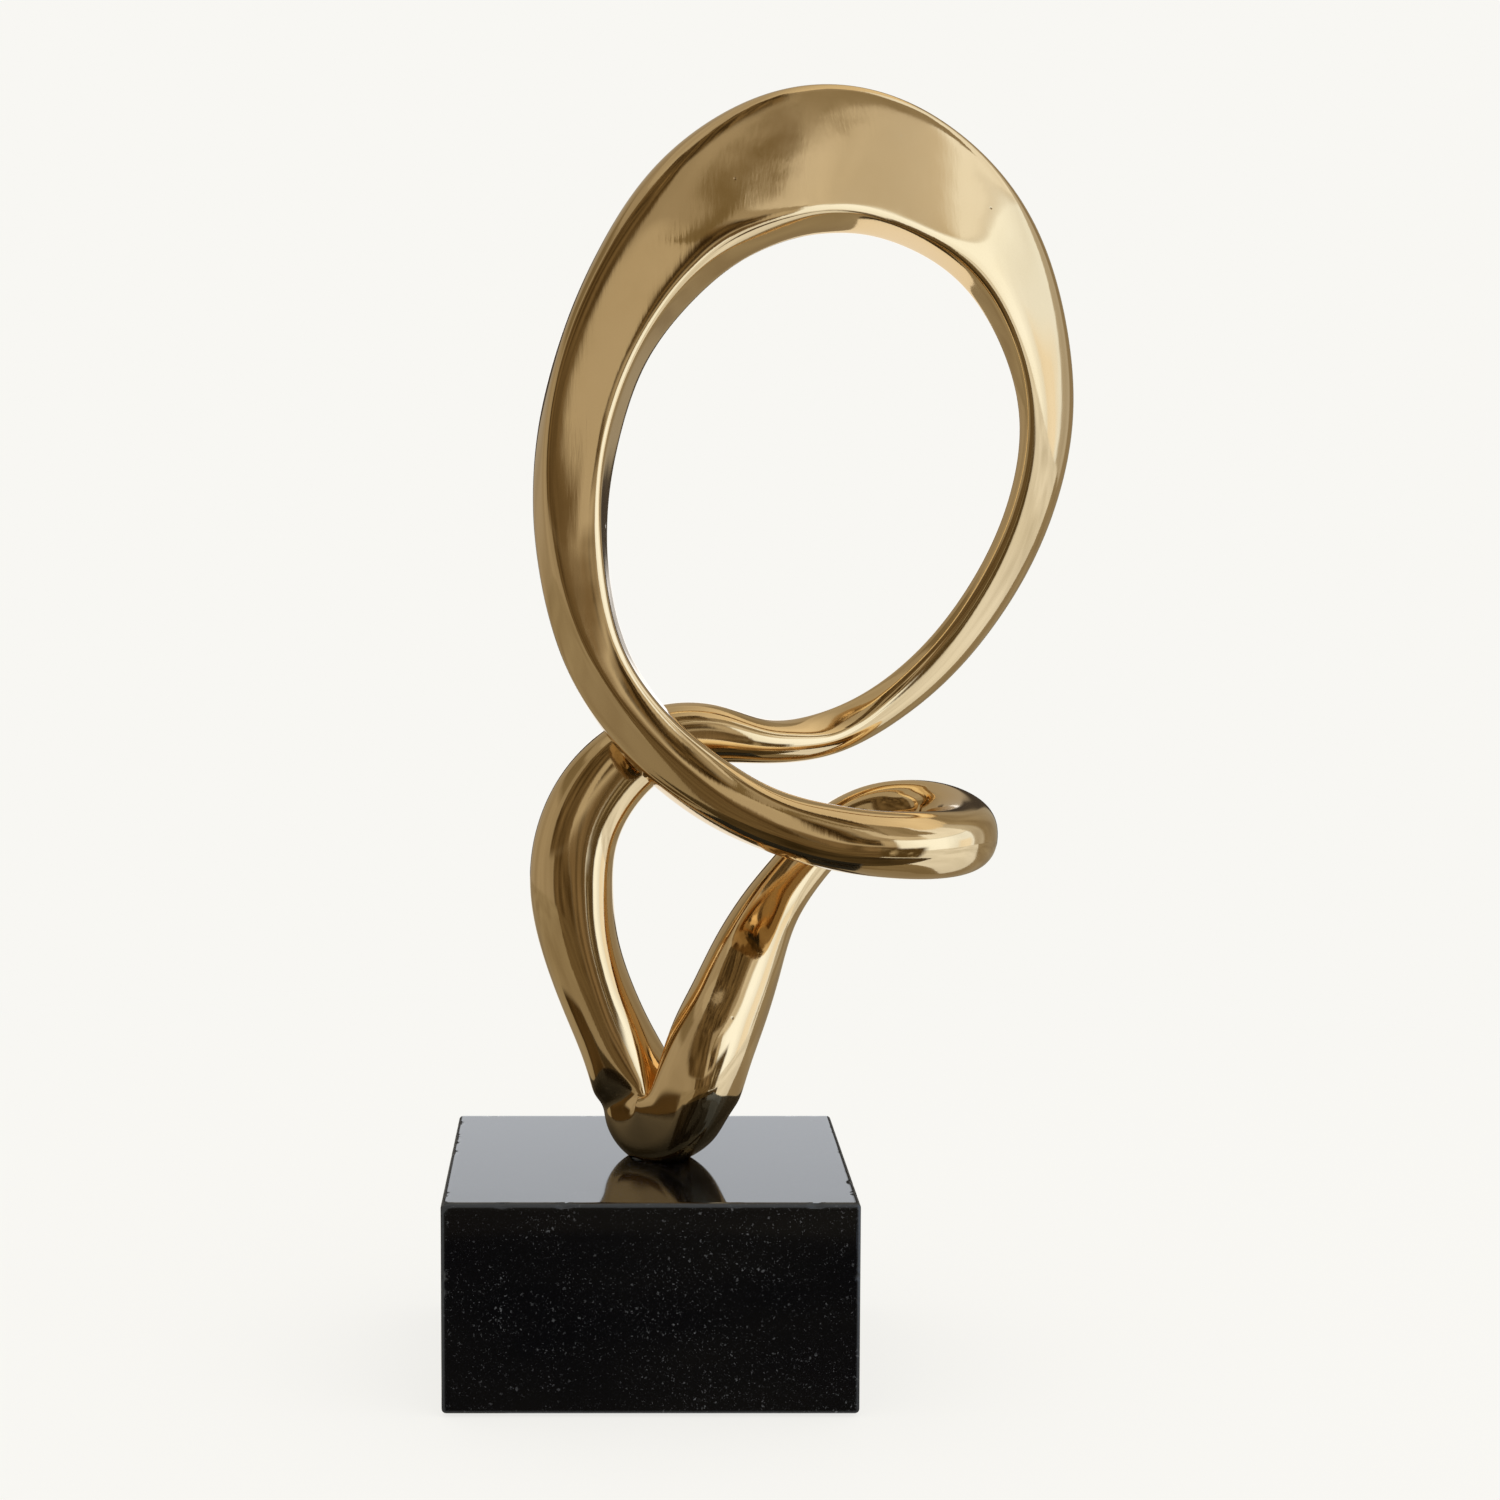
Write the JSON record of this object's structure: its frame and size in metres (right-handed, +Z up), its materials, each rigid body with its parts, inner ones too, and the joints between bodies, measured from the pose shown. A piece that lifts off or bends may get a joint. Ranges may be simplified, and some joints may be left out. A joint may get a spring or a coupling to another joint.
{
  "type": "abstract sculpture",
  "caption": "Abstract tabletop sculpture: a polished brass strand looped into a tall ring with crossed legs, bolted to a square black granite block with a felt underlay.",
  "frame": {"origin": "centre of the felt's underside, where the sculpture rests on a table", "axes": "+Z up, +Y away from the viewer of the front, +X to the viewer's right along the block's front face"},
  "size_m": [0.1978, 0.125, 0.3999],
  "materials": {
    "brass": "hand-polished cast brass, warm gold, fine rub marks",
    "granite": "polished black granite with small grey flecks and eased arrises",
    "felt": "black pressed felt, glued under the block",
    "steel": "bright zinc-plated steel"
  },
  "bodies": {
    "root": {"brass_loop": "brass", "granite_block": "granite", "felt_underlay": "felt", "threaded_stud": "steel", "flat_washer": "steel", "spring_washer": "steel", "hexagon_nut": "steel"}
  },
  "joints": []
}
